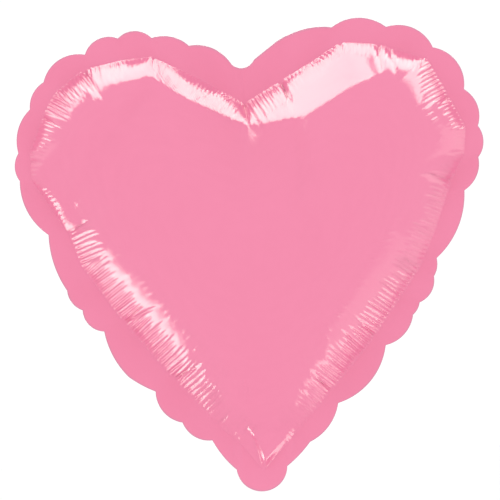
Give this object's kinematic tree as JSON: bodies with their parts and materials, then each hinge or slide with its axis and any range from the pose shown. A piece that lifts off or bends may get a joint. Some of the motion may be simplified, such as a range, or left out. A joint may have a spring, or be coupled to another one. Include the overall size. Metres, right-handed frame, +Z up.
{
  "type": "heart-shaped foil balloon",
  "caption": "Inflated heart-shaped party balloon of two glossy pink films with a scalloped sealed rim, an inlet tab and a flat self-sealing valve inside.",
  "frame": {"origin": "under the middle of the balloon's box, level with the lowest point of the inlet tab, in the plane where the two films meet", "axes": "+Z up from the tab to the cleft, +X to the right seen from the front, -Y out of the front dome"},
  "size_m": [0.3904, 0.1468, 0.389],
  "materials": {
    "foil_film": "metallised nylon film printed solid pink, satin gloss",
    "fused_sealant": "heat-fused polyethylene sealant, seen through the pink film",
    "valve_film": "thin milky polyethylene film",
    "release_ink": "matt heat-resistant release print"
  },
  "bodies": {
    "root": {"front_panel": "foil_film", "rear_panel": "foil_film", "perimeter_seal": "fused_sealant", "front_inlet_seal": "fused_sealant", "rear_inlet_seal": "fused_sealant", "valve_front_film": "valve_film", "valve_rear_film": "valve_film", "valve_side_seal_left": "valve_film", "valve_side_seal_right": "valve_film", "valve_release_print": "release_ink"}
  },
  "joints": []
}
